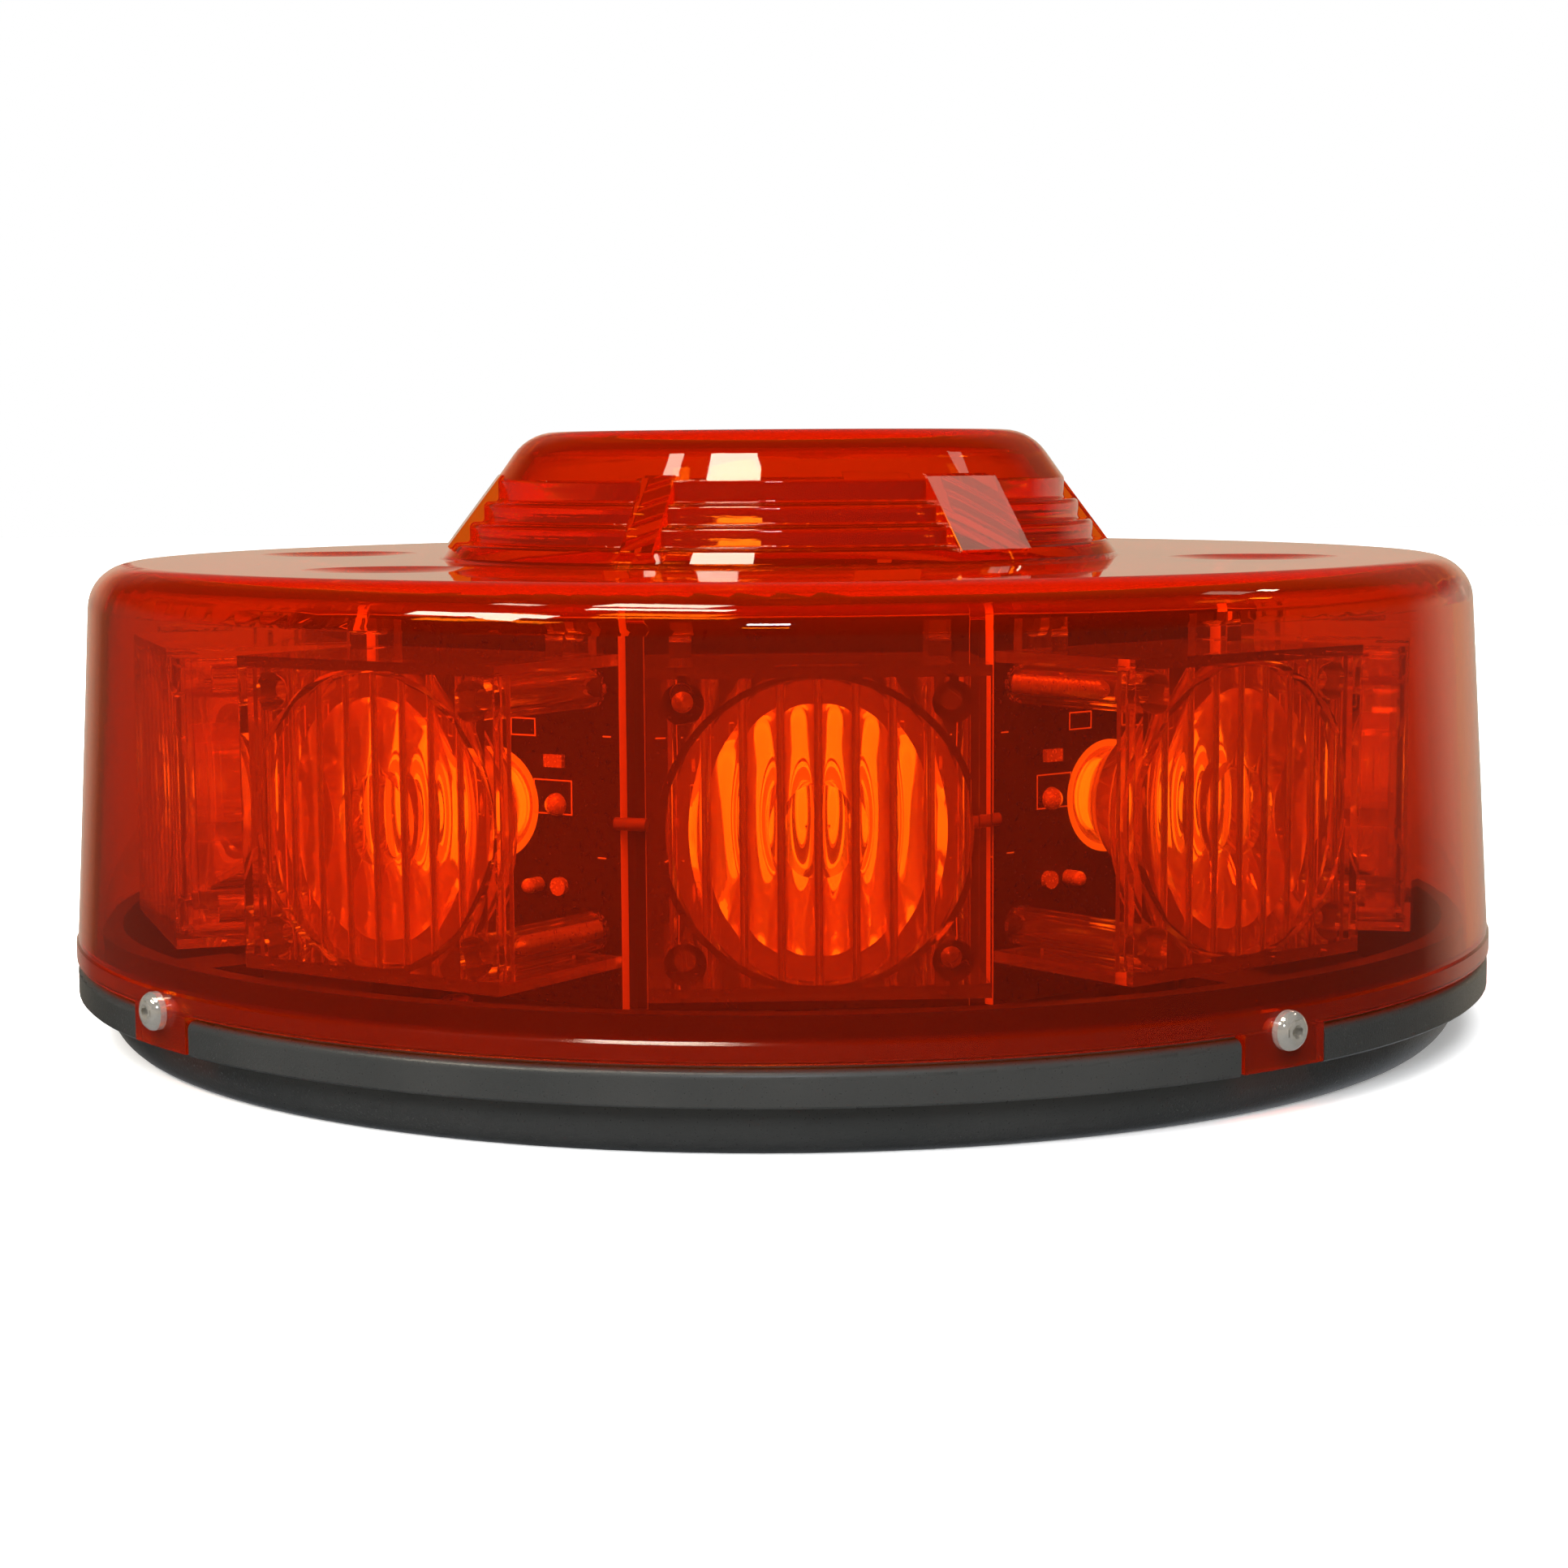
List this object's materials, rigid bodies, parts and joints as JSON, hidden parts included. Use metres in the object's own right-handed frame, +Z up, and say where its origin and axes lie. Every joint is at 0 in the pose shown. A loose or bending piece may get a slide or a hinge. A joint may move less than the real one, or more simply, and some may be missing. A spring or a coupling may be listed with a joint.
{
  "type": "led warning beacon",
  "caption": "Low round LED warning beacon: an amber clear dome with a stepped crown over a ring of boxed light heads, screwed to a black base that bolts down flat.",
  "frame": {"origin": "centre of the flat underside of the base", "axes": "+Z up along the beacon's axis; light head 1 faces -Y"},
  "size_m": [0.2286, 0.2286, 0.0954],
  "materials": {
    "black_housing": "satin moulded black",
    "amber_dome": "clear orange-red moulded plastic",
    "black_rubber": "matte",
    "nickel_screws": "bright nickel plate",
    "zinc_screws": "zinc plate",
    "clear_cover": "clear moulded plastic",
    "clear_optic": "clear polished plastic",
    "led_package": "yellow phosphor under clear resin",
    "black_board": "black solder mask",
    "green_board": "green solder mask",
    "board_parts": "tin solder",
    "link_sleeve": "pale insulated link",
    "frame_black": "black moulded",
    "copper_winding": "enamelled copper",
    "capacitor_can": "dark sleeve",
    "chip_black": "moulded epoxy",
    "terminal_green": "green nylon",
    "switch_black": "matte",
    "button_red": "matte",
    "brass_inserts": "machined"
  },
  "bodies": {
    "beacon": {"base_housing": "black_housing", "dome_lens": "amber_dome", "dome_seal": "black_rubber", "mounting_gasket": "black_rubber", "cable_grommet": "black_rubber", "dome_screws": "nickel_screws", "frame_screws": "nickel_screws", "driver_board_screws": "nickel_screws", "cover_screws": "zinc_screws", "optic_cover_01": "clear_cover", "optic_cover_02": "clear_cover", "optic_cover_03": "clear_cover", "optic_cover_04": "clear_cover", "optic_cover_05": "clear_cover", "optic_cover_06": "clear_cover", "optic_cover_07": "clear_cover", "optic_cover_08": "clear_cover", "optic_cover_09": "clear_cover", "optic_cover_10": "clear_cover", "collimator_01": "clear_optic", "collimator_02": "clear_optic", "collimator_03": "clear_optic", "collimator_04": "clear_optic", "collimator_05": "clear_optic", "collimator_06": "clear_optic", "collimator_07": "clear_optic", "collimator_08": "clear_optic", "collimator_09": "clear_optic", "collimator_10": "clear_optic", "led_emitter_01": "led_package", "led_emitter_02": "led_package", "led_emitter_03": "led_package", "led_emitter_04": "led_package", "led_emitter_05": "led_package", "led_emitter_06": "led_package", "led_emitter_07": "led_package", "led_emitter_08": "led_package", "led_emitter_09": "led_package", "led_emitter_10": "led_package", "led_board_01": "black_board", "led_board_02": "black_board", "led_board_03": "black_board", "led_board_04": "black_board", "led_board_05": "black_board", "led_board_06": "black_board", "led_board_07": "black_board", "led_board_08": "black_board", "led_board_09": "black_board", "led_board_10": "black_board", "driver_board": "green_board", "board_components": "board_parts", "board_links": "link_sleeve", "board_frame": "frame_black", "choke_coil": "copper_winding", "filter_capacitors": "capacitor_can", "driver_chips": "chip_black", "terminal_block": "terminal_green", "pattern_switch": "switch_black", "mount_inserts": "brass_inserts"},
    "button": {"pattern_button": "button_red"}
  },
  "joints": [
    {"name": "button_press", "type": "slide", "parent": "beacon", "child": "button", "axis": [0, 0, -1], "range_m": [0, 0.0015], "stiffness_N_per_m": 800, "springref_m": -0.0006}
  ]
}
